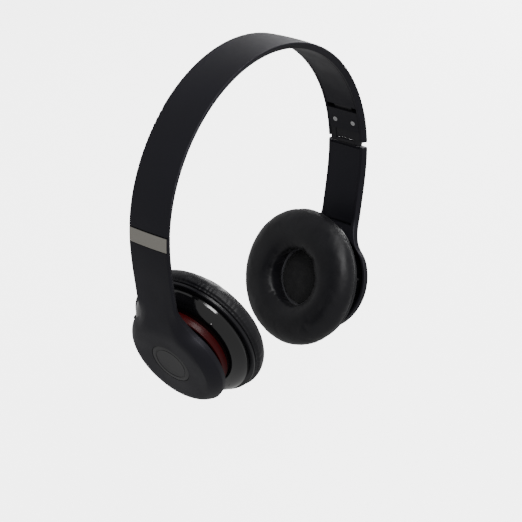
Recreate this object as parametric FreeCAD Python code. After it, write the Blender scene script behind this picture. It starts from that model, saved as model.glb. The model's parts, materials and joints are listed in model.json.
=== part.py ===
import FreeCAD, Part
import math
import os

# Folding wireless on-ear headset, millimetres.
# Frame: +Z up, -Y towards the wearer's face, +X towards the wearer's left.
# Origin: the middle of the headband's underside, where it rests on a head or a stand.
# Each side is built on +X (the wearer's left) and mirrored to -X (the wearer's right).

V = FreeCAD.Vector
SIDES = {"left": 1, "right": -1}

# ---- driving dimensions: headband ----
BAND_R = 83.0            # outer radius of the arch
BAND_T = 4.0             # thickness of the band
BAND_W = 26.0            # width at the outer face
BAND_W_IN = 22.8         # width at the inner face
CROWN = 0.4              # crowning of the outer face across its width
WALL = 1.2               # outer wall of the band
CHANNEL_HALF = 10.0      # half width of the channel inside the band
LINER_T = 0.9
ARCH_Z = BAND_T - BAND_R  # height of the arch's centre

# ---- angles along the arch, from the top, in degrees ----
LINER_END = 69.4
COVER_TOP = 69.8
SCREW_ANGLE = 75.2
COVER_END = 79.0
PIVOT_ANGLE = 84.3
LIP_END = 85.1           # end of the band's shell
ARM_TOP = 85.35          # top edge of the arm's outer wall
ARM_RIM_TOP = 85.75      # top edge of the arm's side rims
PLATE_END = 90.8         # lower edge of the name plate
ARM_ARC_END = 94.0       # the arm leaves the arch's circle here
ARM_EASE_END = 98.5      # and is straight from here
EASE_R = 200.0
STRAIGHT = 33.0          # length of the arm's straight stretch
ROOT_END = 34.0          # the arm is solid from the cap up to here, above the cap's centre

# ---- slider ----
GUIDE_TOP = 50.0
BLADE_HALF = 5.8
BLADE_R0, BLADE_R1 = 80.3, 81.1
CLEAR = 0.2
BLOCK_HALF = CHANNEL_HALF - CLEAR
BLOCK_R1 = BAND_R - WALL - CLEAR
BLOCK_R0 = 80.0
EAR_IN = 6.5             # inner face of the hinge's ears
TONGUE_HALF = 6.3
PIVOT_R = 80.35
KNUCKLE_R = 1.25
PIN_R = 0.6
RUNNING = 0.05
NOTCH_PITCH = 2.1        # degrees between the blade's notches
DRAWN_OUT = {"left": 2.0, "right": 0.0}  # how far each slider stands out, in degrees of the arch
SCREW_Y = 6.0

# ---- ear cap on the arm's end (its own axis points inward) ----
CAP_TILT = 21.2
CAP_CENTRE = V(68.8, 0, -151.5)
CAP_FACE_R = 23.6
CAP_R = 29.5
CAP_DEPTH = 8.5
CAP_WALL = 1.6
CAP_FLOOR = 1.8
EMBLEM_R = 12.0
EMBLEM_T = 0.5
PIVOT_DEPTH = 6.0        # gimbal centre, below the cap's face
FLARE_R = 25.0           # fillet between the arm and the cap, seen face on

# ---- gimbal ----
RING_IN, RING_OUT, RING_HALF = 16.8, 20.2, 1.5
GIMBAL_PIN_R = 0.8
POST_IN, POST_OUT, POST_HALF = 13.0, 16.2, 3.0
LUG_IN, LUG_OUT, LUG_HALF = 20.6, 22.6, 2.6
FOOT_IN, FOOT_OUT, FOOT_HALF, FOOT_T = 18.4, 22.2, 6.5, 0.8
FOOT_SCREW_X, FOOT_SCREW_Y = 4.6, 20.4

# ---- ear cup (its own axis points inward, from the gimbal's centre) ----
CUP_TILT = 18.0
CUP_TOE = 6.0            # the cups' back edges stand further apart
BACK_Z = 7.0             # back wall of the housing
BACK_T = 1.5
COLLAR_IN, COLLAR_OUT, COLLAR_TOP = 24.2, 25.9, 2.6
HOUSING_R = 34.5
HOUSING_WALL = 1.6
HOUSING_END = 14.6
BAFFLE_Z, BAFFLE_T, BAFFLE_R = 14.9, 1.8, 36.8
BOSS_AT, BOSS_R = 28.5, 2.2
BOSS_ANGLES = (45, 135, 225, 315)
DRIVER_R = 20.0
MAGNET_R = 9.5
CUSHION_Z = BAFFLE_Z + BAFFLE_T + 0.2
CUSHION_R = 38.2
CUSHION_HOLE_R = 16.1
JACK_R, JACK_OUT, JACK_Y, JACK_Z = 1.8, 2.4, 13.0, 11.9
JACK_MOUTH, JACK_LENGTH = 31.0, 14.0
BUTTON_Z0, BUTTON_Z1 = 11.0, 13.6
POWER_ANGLE, ROCKER_ANGLE, ROCKER_SPAN = 119.0, 91.0, 13.0
ROCKER_PIVOT_R = 31.0


# ---------------------------------------------------------------- helpers
def wire(points):
    """A closed wire; a point given as ("arc", middle, end) bends from the point before it."""
    edges, here = [], points[0]
    for step in points[1:] + [points[0]]:
        if step[0] == "arc":
            edges.append(Part.Arc(here, step[1], step[2]).toShape())
            here = step[2]
        elif (step - here).Length > 1e-6:
            edges.append(Part.LineSegment(here, step).toShape())
            here = step
    return Part.Wire(edges)


def turned(profile):
    """A ring or disc about local Z from (radius, height) points, with ("arc", mid, end) steps."""
    at = lambda p: V(p[0], 0, p[1])
    points = [("arc", at(p[1]), at(p[2])) if p[0] == "arc" else at(p) for p in profile]
    return Part.Face(wire(points)).revolve(V(0, 0, 0), V(0, 0, 1), 360)


def box(x0, x1, y0, y1, z0, z1):
    return Part.makeBox(x1 - x0, y1 - y0, z1 - z0, V(x0, y0, z0))


def rod(radius, start, end):
    return Part.makeCylinder(radius, (end - start).Length, start, end - start)


def on_arch(y, r, angle):
    """A point at radius r and width y, angle degrees down the +X side of the arch."""
    a = math.radians(angle)
    return V(r * math.sin(a), y, ARCH_Z + r * math.cos(a))


def arch_revolve(section, start, end):
    """Revolves (y, r) points about the arch's axis from angle start to angle end."""
    at = lambda p: V(0, p[0], ARCH_Z + p[1])
    points = [("arc", at(p[1]), at(p[2])) if p[0] == "arc" else at(p) for p in section]
    face = Part.Face(wire(points))
    face.rotate(V(0, 0, ARCH_Z), V(0, 1, 0), start)
    return face.revolve(V(0, 0, ARCH_Z), V(0, 1, 0), end - start)


def arch_block(r0, r1, y0, y1, start, end):
    return arch_revolve([(y0, r0), (y1, r0), (y1, r1), (y0, r1)], start, end)


def both_y(shape):
    """The shape and its mirror image across the XZ plane, as one."""
    return shape.fuse(shape.mirror(V(0, 0, 0), V(0, 1, 0)))


def frame(origin, tilt, toe=0.0):
    """Local X up the cup, local Y towards the back, local Z inward along the cup's axis."""
    b = math.radians(tilt)
    up = V(math.sin(b), 0, math.cos(b))
    inward = V(-math.cos(b), 0, math.sin(b))
    turn = FreeCAD.Rotation(up, -toe)
    inward = turn.multVec(inward)
    side = inward.cross(up)
    m = FreeCAD.Matrix(
        up.x, side.x, inward.x, origin.x,
        up.y, side.y, inward.y, origin.y,
        up.z, side.z, inward.z, origin.z,
        0, 0, 0, 1,
    )
    return FreeCAD.Placement(m)


CAP = frame(CAP_CENTRE, CAP_TILT)
GIMBAL_CENTRE = CAP.multVec(V(0, 0, PIVOT_DEPTH))
RING = frame(GIMBAL_CENTRE, CUP_TILT)
CUP = frame(GIMBAL_CENTRE, CUP_TILT, CUP_TOE)


def placed(shape, place):
    shape = shape.copy()
    shape.Placement = place.multiply(shape.Placement)
    return shape


def around(angle, radius, z=0.0):
    """A point in a cup's plane: angle 0 is up, 90 is towards the back, 180 is down."""
    a = math.radians(angle)
    return V(radius * math.cos(a), radius * math.sin(a), z)


def screw(head_r, head_h, shank_r, length):
    """A cross-recessed screw: head from z = 0 to head_h, shank below it."""
    body = rod(head_r, V(0, 0, 0), V(0, 0, head_h))
    body = body.fuse(rod(shank_r, V(0, 0, -length), V(0, 0, 0)))
    bar, arm = head_r * 0.17, head_r * 0.62
    deep = head_h * 0.55
    slot = box(-bar, bar, -arm, arm, head_h - deep, head_h + 1)
    return body.cut(slot).cut(box(-arm, arm, -bar, bar, head_h - deep, head_h + 1))


# ---------------------------------------------------------------- headband
def band_section(channel=True):
    """The band's cross-section, (y, r): crowned face, rounded edges, drafted sides."""
    outer = BAND_R - CROWN
    half, inner = BAND_W / 2, BAND_W_IN / 2
    r_in = BAND_R - BAND_T
    top = [
        (-half + 0.9, outer),
        ("arc", (0, BAND_R), (half - 0.9, outer)),
        ("arc", (half - 0.2, outer - 0.3), (half, outer - 1.0)),
        (inner + 0.1, r_in + 0.35),
        ("arc", (inner - 0.05, r_in + 0.1), (inner - 0.35, r_in)),
    ]
    bottom = [
        (-inner + 0.35, r_in),
        ("arc", (-inner + 0.05, r_in + 0.1), (-inner - 0.1, r_in + 0.35)),
        (-half, outer - 1.0),
        ("arc", (-half + 0.2, outer - 0.3), (-half + 0.9, outer)),
    ]
    if not channel:
        return top + bottom
    ceiling = BAND_R - WALL
    slot = [
        (CHANNEL_HALF, r_in),
        (CHANNEL_HALF, ceiling),
        (-CHANNEL_HALF, ceiling),
        (-CHANNEL_HALF, r_in),
    ]
    return top + slot + bottom


def headband_shell():
    return arch_revolve(band_section(), -LIP_END, LIP_END)


def headband_liner():
    r_in, half = BAND_R - BAND_T, CHANNEL_HALF - 0.1
    section = [
        (-half + 0.3, r_in),
        (half - 0.3, r_in),
        (half, r_in + 0.3),
        (half, r_in + LINER_T),
        (-half, r_in + LINER_T),
        (-half, r_in + 0.3),
    ]
    return arch_revolve(section, -LINER_END, LINER_END)


def spring_strip():
    return arch_block(BLADE_R0, BLADE_R0 + 0.6, -5.5, 5.5, -GUIDE_TOP + 3, GUIDE_TOP - 3)


def crossover_wire():
    """The lead between the cups, where it lies fixed beside the spring in the band."""
    circle = Part.Circle(V(0, 8.6, ARCH_Z + 80.85), V(1, 0, 0), 0.6).toShape()
    face = Part.Face(Part.Wire([circle]))
    face.rotate(V(0, 0, ARCH_Z), V(0, 1, 0), -LINER_END + 1)
    return face.revolve(V(0, 0, ARCH_Z), V(0, 1, 0), 2 * LINER_END - 2)


def slide_guide():
    """Two rails and a bridge that carry the slider's blade; the bridge has a detent rib."""
    low, high = BAND_R - BAND_T + LINER_T, BAND_R - WALL
    rails = both_y(arch_block(low, high, BLADE_HALF + 0.15, 7.3, GUIDE_TOP, LINER_END))
    bridge = arch_block(BLADE_R1 + 0.15, high, -6.4, 6.4, GUIDE_TOP + 3, GUIDE_TOP + 9)
    rib = arch_block(BLADE_R1 + 0.08, high, -4, 4, GUIDE_TOP + 5.4, GUIDE_TOP + 6.2)
    return rails.fuse(bridge).fuse(rib).removeSplitter()


# ---------------------------------------------------------------- slider
def slider_blade():
    blade = arch_block(BLADE_R0, BLADE_R1, -BLADE_HALF, BLADE_HALF, GUIDE_TOP, 72.0)
    angle = GUIDE_TOP + 2
    while angle < LINER_END - 1:
        for y in (-BLADE_HALF, BLADE_HALF):
            notch = rod(0.55, on_arch(y, BLADE_R0 - 1, angle), on_arch(y, BLADE_R1 + 1, angle))
            blade = blade.cut(notch)
        angle += NOTCH_PITCH
    return blade


def knuckle(y0, y1, radius=KNUCKLE_R):
    return rod(radius, on_arch(y0, PIVOT_R, PIVOT_ANGLE), on_arch(y1, PIVOT_R, PIVOT_ANGLE))


def slider_block():
    """Slides in the band's channel and ends in the two ears of the folding hinge."""
    body = arch_block(BLOCK_R0, BLOCK_R1, -BLOCK_HALF, BLOCK_HALF, COVER_TOP, COVER_END)
    neck = arch_block(PIVOT_R - KNUCKLE_R + 0.2, BLOCK_R1, EAR_IN, BLOCK_HALF, COVER_END, PIVOT_ANGLE)
    ear = neck.fuse(knuckle(EAR_IN, BLOCK_HALF))
    saddle_end = PIVOT_ANGLE - 1.35
    saddle = arch_block(BLOCK_R0 - 0.4, BLOCK_R1, -EAR_IN - 0.1, EAR_IN + 0.1, COVER_END, saddle_end)
    body = body.fuse(both_y(ear)).fuse(saddle)
    body = body.cut(knuckle(-BLOCK_HALF - 1, BLOCK_HALF + 1, PIN_R))
    body = body.cut(slider_blade())
    for y in (-SCREW_Y, SCREW_Y):
        body = body.cut(rod(0.7, on_arch(y, BLOCK_R0 - 1, SCREW_ANGLE), on_arch(y, 81.3, SCREW_ANGLE)))
    return body.removeSplitter()


def block_cover():
    """The inner cover plate, with a counterbore for each of its two screws."""
    r_in = BAND_R - BAND_T
    plate = arch_block(r_in, BLOCK_R0 - 0.02, -BLOCK_HALF, BLOCK_HALF, COVER_TOP, COVER_END)
    for y in (-SCREW_Y, SCREW_Y):
        sunk = rod(1.65, on_arch(y, r_in - 1, SCREW_ANGLE), on_arch(y, r_in + 0.6, SCREW_ANGLE))
        through = rod(0.85, on_arch(y, r_in - 1, SCREW_ANGLE), on_arch(y, 81, SCREW_ANGLE))
        plate = plate.cut(sunk).cut(through)
    return plate


def cover_screws():
    r_in = BAND_R - BAND_T
    seat = r_in + 0.6
    screws = []
    for y in (-SCREW_Y, SCREW_Y):
        one = screw(1.35, 0.5, 0.7, 1.5)
        spin = FreeCAD.Rotation(V(0, 0, 1), 25 if y < 0 else 70)
        aim = FreeCAD.Rotation(V(0, 1, 0), SCREW_ANGLE + 180)
        one.Placement = FreeCAD.Placement(on_arch(y, seat, SCREW_ANGLE), aim.multiply(spin))
        screws.append(one)
    return Part.makeCompound(screws)


def hinge_pin():
    return knuckle(-BLOCK_HALF + 0.1, BLOCK_HALF - 0.1, PIN_R)


# ---------------------------------------------------------------- arm
def arm_points():
    """Where the arm's outer line leaves the arch's circle, and where it becomes straight."""
    a, b = math.radians(ARM_ARC_END), math.radians(ARM_EASE_END)
    leave = on_arch(0, BAND_R, ARM_ARC_END)
    centre = leave - V(math.sin(a), 0, math.cos(a)) * EASE_R
    straight = centre + V(math.sin(b), 0, math.cos(b)) * EASE_R
    return centre, straight


def arm_sweep(section, start, length=STRAIGHT):
    """Sweeps a (y, r) section down the arm: along the arch, an easing arc, then straight."""
    centre, straight = arm_points()
    first = arch_revolve(section, start, ARM_ARC_END)
    at = lambda p: V(0, p[0], ARCH_Z + p[1])
    points = [("arc", at(p[1]), at(p[2])) if p[0] == "arc" else at(p) for p in section]
    face = Part.Face(wire(points))
    face.rotate(V(0, 0, ARCH_Z), V(0, 1, 0), ARM_ARC_END)
    second = face.revolve(centre, V(0, 1, 0), ARM_EASE_END - ARM_ARC_END)
    face.rotate(centre, V(0, 1, 0), ARM_EASE_END - ARM_ARC_END)
    b = math.radians(ARM_EASE_END)
    third = face.extrude(V(math.cos(b), 0, -math.sin(b)) * length)
    return first.fuse(second).fuse(third).removeSplitter()


def cap_shell():
    """The round cap at the arm's end, about its own axis."""
    r, d = CAP_R, CAP_DEPTH
    profile = [
        (0, EMBLEM_T + 0.1),
        (EMBLEM_R + 0.1, EMBLEM_T + 0.1),
        (EMBLEM_R + 0.1, 0),
        (CAP_FACE_R - 1, 0),
        ("arc", (CAP_FACE_R - 0.2, 0.1), (CAP_FACE_R + 0.5, 0.5)),
        ("arc", (27.2, 2.1), (r, 5.4)),
        (r, d),
        (r - CAP_WALL, d),
        ("arc", (26.0, 3.6), (23.3, CAP_FLOOR)),
        (0, CAP_FLOOR),
    ]
    return turned(profile)


def flare():
    """The stretch where the arm widens into the cap, with a concave edge on each side."""
    across = BAND_W / 2 - 0.4
    rim = CAP_R - 0.5
    reach = rim + FLARE_R
    start_x = math.sqrt(reach**2 - (across + FLARE_R) ** 2)
    tangent = V(start_x, across + FLARE_R, 0) * (rim / reach)
    turn = math.radians(225 + 0.5 * math.degrees(math.atan2(across + FLARE_R, start_x)))
    mid = V(start_x, across + FLARE_R, 0) + V(math.cos(turn), math.sin(turn), 0) * FLARE_R
    flip = lambda p: V(p.x, -p.y, 0)
    edge = V(start_x, across, 0)
    outline = wire([flip(edge), edge, ("arc", mid, tangent), flip(tangent), ("arc", flip(mid), flip(edge))])
    prism = Part.Face(outline).extrude(V(0, 0, 30))
    prism.translate(V(0, 0, -15))
    low, high, half = BAND_R - BAND_T + 0.3, BAND_R - CROWN - 0.5, CAP_R
    wide = arm_sweep([(-half, low), (half, low), (half, high), (-half, high)], ARM_ARC_END - 1)
    channel = box(ROOT_END, 60, -CHANNEL_HALF, CHANNEL_HALF, -15, 15)
    return wide.common(placed(prism, CAP)).cut(placed(channel, CAP))


def arm_shell():
    strap = arm_sweep(band_section(), ARM_TOP)
    low, high = BAND_R - BAND_T - 1, BAND_R - WALL
    strap = strap.cut(arch_block(low, high, -BAND_W, BAND_W, ARM_TOP - 2, ARM_RIM_TOP))
    solid_end = arm_sweep(band_section(False), ARM_ARC_END - 1)
    root = placed(box(20, ROOT_END, -CHANNEL_HALF - 1, CHANNEL_HALF + 1, -8, 8), CAP)
    strap = strap.fuse(solid_end.common(root)).fuse(flare())
    bend = ("arc", (26.0, 3.6), (CAP_R - CAP_WALL, CAP_DEPTH))
    cavity = turned([(0, CAP_FLOOR), (23.3, CAP_FLOOR), bend, (CAP_R - CAP_WALL, 30), (0, 30)])
    front = turned([(0, -30), (CAP_FACE_R, -30), (CAP_FACE_R, 0), (0, 0)])
    seat_z, seat_r = EMBLEM_T + 0.1, EMBLEM_R + 0.1
    seat = turned([(0, -5), (seat_r, -5), (seat_r, seat_z), (0, seat_z)])
    shell = strap.cut(placed(front, CAP)).fuse(placed(cap_shell(), CAP))
    shell = shell.cut(placed(cavity, CAP)).cut(placed(seat, CAP)).cut(plate_solid(0.12))
    for screw_at in foot_screw_points():
        hole = rod(0.6, screw_at + V(0, 0, -2.4), screw_at + V(0, 0, 3))
        shell = shell.cut(placed(hole, CAP))
    return shell.removeSplitter()


def plate_solid(grow=0.0):
    """The name plate on the arm's outer face, or its seat if grown."""
    thick, half = 0.6 + grow, BAND_W / 2 - 0.75 + grow
    outer = BAND_R - CROWN
    section = [
        (-half, outer + 0.02 + grow),
        ("arc", (0, BAND_R + 0.02 + grow), (half, outer + 0.02 + grow)),
        (half, BAND_R - thick - CROWN),
        ("arc", (0, BAND_R - thick), (-half, BAND_R - thick - CROWN)),
    ]
    side = math.degrees(grow / BAND_R)
    return arch_revolve(section, ARM_TOP + 0.25 - side, PLATE_END + side)


def name_plate():
    return plate_solid()


def arm_liner():
    """The inner cover that closes the arm's channel."""
    r_in, half = BAND_R - BAND_T, CHANNEL_HALF - 0.1
    section = [(-half, r_in), (half, r_in), (half, r_in + LINER_T), (-half, r_in + LINER_T)]
    liner = arm_sweep(section, ARM_RIM_TOP + 0.4)
    root = placed(box(-40, ROOT_END + 0.2, -40, 40, -30, 30), CAP)
    return liner.cut(root).removeSplitter()


def hinge_leaf():
    """The tongue of the folding hinge, set in the arm's channel."""
    low, high = BLOCK_R0, BLOCK_R1
    leaf = arch_block(low, high, -TONGUE_HALF, TONGUE_HALF, PIVOT_ANGLE, 93.5)
    wide = arch_block(low, high, -CHANNEL_HALF + 0.1, CHANNEL_HALF - 0.1, 88.0, 93.5)
    round_end = knuckle(-TONGUE_HALF, TONGUE_HALF)
    leaf = leaf.fuse(wide).fuse(round_end)
    return leaf.cut(knuckle(-8, 8, PIN_R + RUNNING)).removeSplitter()


def emblem():
    disc = turned([(0, 0), (EMBLEM_R - 0.2, 0), (EMBLEM_R, 0.2), (EMBLEM_R, EMBLEM_T), (0, EMBLEM_T)])
    return placed(disc, CAP)


# ---------------------------------------------------------------- gimbal
def foot_screw_points():
    top = CAP_FLOOR + 0.05 + FOOT_T
    return [V(x, y, top) for x in (-FOOT_SCREW_X, FOOT_SCREW_X) for y in (-FOOT_SCREW_Y, FOOT_SCREW_Y)]


def gimbal_brackets():
    """Two brackets screwed in the cap; their lugs hold the gimbal ring's outer pins."""
    z0 = CAP_FLOOR + 0.05
    pair = []
    for sign in (-1, 1):
        ys = sorted((sign * FOOT_IN, sign * FOOT_OUT))
        foot = box(-FOOT_HALF, FOOT_HALF, ys[0], ys[1], z0, z0 + FOOT_T)
        ys = sorted((sign * LUG_IN, sign * LUG_OUT))
        lug = box(-LUG_HALF, LUG_HALF, ys[0], ys[1], z0, PIVOT_DEPTH)
        eye = rod(LUG_HALF * 0.75, V(0, ys[0], PIVOT_DEPTH), V(0, ys[1], PIVOT_DEPTH))
        hole = rod(GIMBAL_PIN_R + RUNNING, V(0, ys[0] - 1, PIVOT_DEPTH), V(0, ys[1] + 1, PIVOT_DEPTH))
        lug = lug.cut(box(-9, 9, -30, 30, PIVOT_DEPTH - 0.4, 20)).fuse(eye).cut(hole)
        bracket = foot.fuse(lug)
        for at in foot_screw_points():
            bracket = bracket.cut(rod(0.7, at + V(0, 0, -3), at + V(0, 0, 0.01)))
        pair.append(placed(bracket.removeSplitter(), CAP))
    return Part.makeCompound(pair)


def bracket_screws():
    screws = []
    for at in foot_screw_points():
        one = screw(1.1, 0.4, 0.55, 1.8)
        one.translate(at + V(0, 0, 0.02))
        screws.append(placed(one, CAP))
    return Part.makeCompound(screws)


def gimbal_pin_rods():
    outer, inner = [], []
    for sign in (-1, 1):
        outer.append(rod(GIMBAL_PIN_R, V(0, sign * 17.6, 0), V(0, sign * (LUG_OUT - 0.1), 0)))
        inner.append(rod(GIMBAL_PIN_R, V(sign * (POST_IN + 0.1), 0, 0), V(sign * 19.4, 0, 0)))
    return outer + inner


def gimbal_ring():
    z = RING_HALF
    ring = turned([(RING_IN, -z), (RING_OUT, -z), (RING_OUT, z), (RING_IN, z)])
    for pin in gimbal_pin_rods():
        ring = ring.cut(pin)
    return placed(ring, RING)


def gimbal_pins():
    return Part.makeCompound([placed(pin, RING) for pin in gimbal_pin_rods()])


# ---------------------------------------------------------------- ear cup
def cup_housing(side):
    """The glossy back shell of the cup, with posts for the gimbal and bosses for the baffle."""
    r, end, wall = HOUSING_R, HOUSING_END, HOUSING_WALL
    profile = [
        (8.0, BACK_Z),
        (COLLAR_OUT, BACK_Z),
        ("arc", (31.5, 9.0), (r, 12.3)),
        (r, end - 0.3),
        (r - 0.3, end),
        (r - wall, end),
        (r - wall, 12.6),
        ("arc", (30.5, 10.3), (COLLAR_OUT - 0.5, BACK_Z + BACK_T)),
        (8.0, BACK_Z + BACK_T),
    ]
    shell = turned(profile)
    for sign in (-1, 1):
        xs = sorted((sign * POST_IN, sign * POST_OUT))
        post = box(xs[0], xs[1], -POST_HALF, POST_HALF, 0, BACK_Z + 0.5)
        eye = rod(1.3, V(xs[0], 0, 0), V(xs[1], 0, 0))
        taper = box(xs[0], xs[1], -1.3, 1.3, 0, 3)
        post = post.cut(box(-40, 40, -9, 9, -1, 2.0)).fuse(eye).fuse(taper)
        shell = shell.fuse(post).cut(rod(GIMBAL_PIN_R + RUNNING, V(xs[0] - 1, 0, 0), V(xs[1] + 1, 0, 0)))
    for angle in BOSS_ANGLES:
        low, top = around(angle, BOSS_AT, BACK_Z + 1.2), around(angle, BOSS_AT, end - 0.2)
        shell = shell.fuse(rod(BOSS_R, low, top)).cut(rod(0.75, low + V(0, 0, 1), top + V(0, 0, 1)))
    if side == "right":
        for cutter in (power_hole(), rocker_hole(), port_hole(), jack_hole()):
            shell = shell.cut(cutter)
    return placed(shell.removeSplitter(), CUP)


def accent_ring():
    ring = turned([
        (COLLAR_IN, COLLAR_TOP + 0.4), (COLLAR_IN + 0.4, COLLAR_TOP), (COLLAR_OUT - 0.6, COLLAR_TOP),
        ("arc", (COLLAR_OUT - 0.15, COLLAR_TOP + 0.2), (COLLAR_OUT, COLLAR_TOP + 0.7)),
        (COLLAR_OUT, BACK_Z - 0.02), (COLLAR_IN, BACK_Z - 0.02),
    ])
    return placed(ring, CUP)


def baffle():
    """The front plate: carries the driver, and its rim holds the cushion's skirt."""
    z0, z1, r = BAFFLE_Z, BAFFLE_Z + BAFFLE_T, BAFFLE_R
    plate = turned([
        (18.4, z1 - 0.5), (DRIVER_R + 0.1, z1 - 0.5), (DRIVER_R + 0.1, z0), (r - 0.5, z0),
        ("arc", (r - 0.1, z0 + 0.15), (r, z0 + 0.5)), (r, z1 - 0.3), (r - 0.3, z1), (18.4, z1),
    ])
    spigot = turned([(31.0, z0 - 1.4), (32.6, z0 - 1.4), (32.6, z0 + 0.5), (31.0, z0 + 0.5)])
    plate = plate.fuse(spigot.common(box(-25, 25, -40, -5, 0, 30)))
    for angle in BOSS_ANGLES:
        at = around(angle, BOSS_AT)
        plate = plate.cut(rod(0.85, at + V(0, 0, z0 - 3), at + V(0, 0, z1 + 1)))
        plate = plate.cut(rod(1.7, at + V(0, 0, z1 - 0.9), at + V(0, 0, z1 + 1)))
    for k in range(12):
        vent = around(15 + 30 * k, 24.2)
        plate = plate.cut(rod(1.1, vent + V(0, 0, z0 - 1), vent + V(0, 0, z1 + 1)))
    return placed(plate.removeSplitter(), CUP)


def baffle_screws():
    screws = []
    for k, angle in enumerate(BOSS_ANGLES):
        one = screw(1.5, 0.7, 0.75, 4.0)
        one.rotate(V(0, 0, 0), V(0, 0, 1), 17 * k)
        one.translate(around(angle, BOSS_AT, BAFFLE_Z + BAFFLE_T - 0.88))
        screws.append(placed(one, CUP))
    return Part.makeCompound(screws)


def driver_frame():
    z1 = BAFFLE_Z + BAFFLE_T - 0.55
    basket = turned([
        (MAGNET_R + 0.05, 11.0), (13.0, 11.0), (18.6, 14.6), (DRIVER_R, 14.6), (DRIVER_R, z1),
        (18.0, z1), (18.0, 15.2), (12.6, 12.0), (MAGNET_R + 0.05, 12.0),
    ])
    for k in range(6):
        slot = around(60 * k, 15.0)
        basket = basket.cut(rod(1.6, slot + V(0, 0, 10), slot + V(0, 0, 16)))
    return placed(basket, CUP)


def driver_magnet():
    body = turned([
        (2.0, 8.9), (MAGNET_R - 0.5, 8.9), (MAGNET_R, 9.4), (MAGNET_R, 12.6),
        (7.6, 12.6), (7.6, 10.0), (6.4, 10.0), (6.4, 12.6), (2.0, 12.6),
    ])
    return placed(body, CUP)


def driver_diaphragm():
    """A thin dome and surround, with its voice coil in the magnet's gap."""
    film = turned([
        (0, 15.3), (0.5, 15.3), ("arc", (4, 14.9), (7.2, 13.6)), (7.2, 11.0), (6.8, 11.0),
        (6.8, 13.2), ("arc", (3.8, 14.5), (0.5, 14.85)), (0, 14.85),
    ])
    cone = turned([
        (7.1, 13.4), ("arc", (12.4, 15.6), (17.6, 15.25)), (17.9, 15.25), (17.9, 15.7),
        (17.6, 15.7), ("arc", (12.4, 16.05), (7.1, 13.85)),
    ])
    return placed(film.fuse(cone).removeSplitter(), CUP)


def driver_cloth():
    """The cloth over the driver, at the bottom of the cushion's well."""
    z = CUSHION_Z - 0.1
    rim = ("arc", (8, z + 0.9), (0.5, z + 1.1))
    cloth = turned([(0, z), (15.4, z), (15.4, z + 0.3), rim, (0, z + 1.1)])
    return placed(cloth, CUP)


def ear_cushion():
    """The plain solid of the ring-shaped cushion."""
    z, r, hole = CUSHION_Z, CUSHION_R, CUSHION_HOLE_R
    ring = turned([
        (hole - 0.4, z),
        (r - 1.0, z),
        ("arc", (r - 0.2, z + 2.4), (r, z + 5.4)),
        ("arc", (r - 3.6, z + 10.8), (r - 11.6, z + 14.0)),
        ("arc", (hole + 3.4, z + 13.3), (hole, z + 10.4)),
        ("arc", (hole - 0.7, z + 5.0), (hole - 0.4, z)),
    ])
    return placed(ring, CUP)


# ---------------------------------------------------------------- electronics
def radial(shape, angle):
    """Turns a shape built along local +X to stand at an angle round the cup."""
    shape = shape.copy()
    shape.rotate(V(0, 0, 0), V(0, 0, 1), angle)
    return shape


def power_hole():
    return radial(box(30, 40, -3.6, 3.6, BUTTON_Z0 - 0.1, BUTTON_Z1 + 0.1), POWER_ANGLE)


def power_button():
    cap = box(32.2, 35.2, -3.5, 3.5, BUTTON_Z0, BUTTON_Z1)
    cap = cap.makeFillet(0.5, [e for e in cap.Edges if abs(e.CenterOfMass.x - 35.2) < 0.01])
    stem = box(30.0, 32.5, -3.5, 3.5, BUTTON_Z0 + 1.0, BUTTON_Z1)
    flange = box(30.0, 30.8, -4.2, 4.2, BUTTON_Z0 + 1.0, BUTTON_Z1 + 0.3)
    return placed(radial(cap.fuse(stem).fuse(flange).removeSplitter(), POWER_ANGLE), CUP)


def sector(r0, r1, z0, z1, half_angle):
    ring = Part.Face(wire([V(r0, 0, z0), V(r1, 0, z0), V(r1, 0, z1), V(r0, 0, z1)]))
    ring.rotate(V(0, 0, 0), V(0, 0, 1), -half_angle)
    return ring.revolve(V(0, 0, 0), V(0, 0, 1), 2 * half_angle)


def rocker_hole():
    return radial(sector(30, 40, BUTTON_Z0 - 0.12, BUTTON_Z1 + 0.12, ROCKER_SPAN + 0.45), ROCKER_ANGLE)


def volume_rocker():
    """One key that rocks on a boss at its middle, for volume up and down."""
    key = sector(33.0, 35.1, BUTTON_Z0, BUTTON_Z1, ROCKER_SPAN)
    key = key.fuse(box(31.0, 33.5, -1.4, 1.4, BUTTON_Z0, BUTTON_Z1))
    for turn in (-11, 11):
        foot = box(31.0, 33.4, -0.8, 0.8, BUTTON_Z0 + 0.5, BUTTON_Z1 - 0.5)
        key = key.fuse(radial(foot, turn))
    boss = rod(1.4, V(ROCKER_PIVOT_R, 0, BUTTON_Z0 + 1.0), V(ROCKER_PIVOT_R, 0, BUTTON_Z1 + 0.3))
    hump = sector(35.0, 35.5, BUTTON_Z0 + 0.6, BUTTON_Z1 - 0.6, 1.2)
    marks = hump
    for turn in (-9, 9):
        dot = hump.copy()
        dot.rotate(V(0, 0, 0), V(0, 0, 1), turn)
        marks = marks.fuse(dot)
    return placed(radial(key.fuse(boss).fuse(marks).removeSplitter(), ROCKER_ANGLE), CUP)


def port_hole():
    return box(-40, -30, -4.1, 4.1, 10.3, 13.5)


def charge_port():
    """A small charging receptacle: a metal shell with a tongue inside."""
    shell = box(-34.2, -28.6, -3.9, 3.9, 10.5, 13.3)
    shell = shell.cut(box(-40, -29.2, -3.4, 3.4, 11.0, 12.8))
    tongue = box(-33.4, -29.0, -2.4, 2.4, 11.6, 12.2)
    return placed(shell.fuse(tongue), CUP)


def jack_hole():
    return rod(JACK_OUT + 0.1, V(-40, JACK_Y, JACK_Z), V(-14, JACK_Y, JACK_Z))


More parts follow.
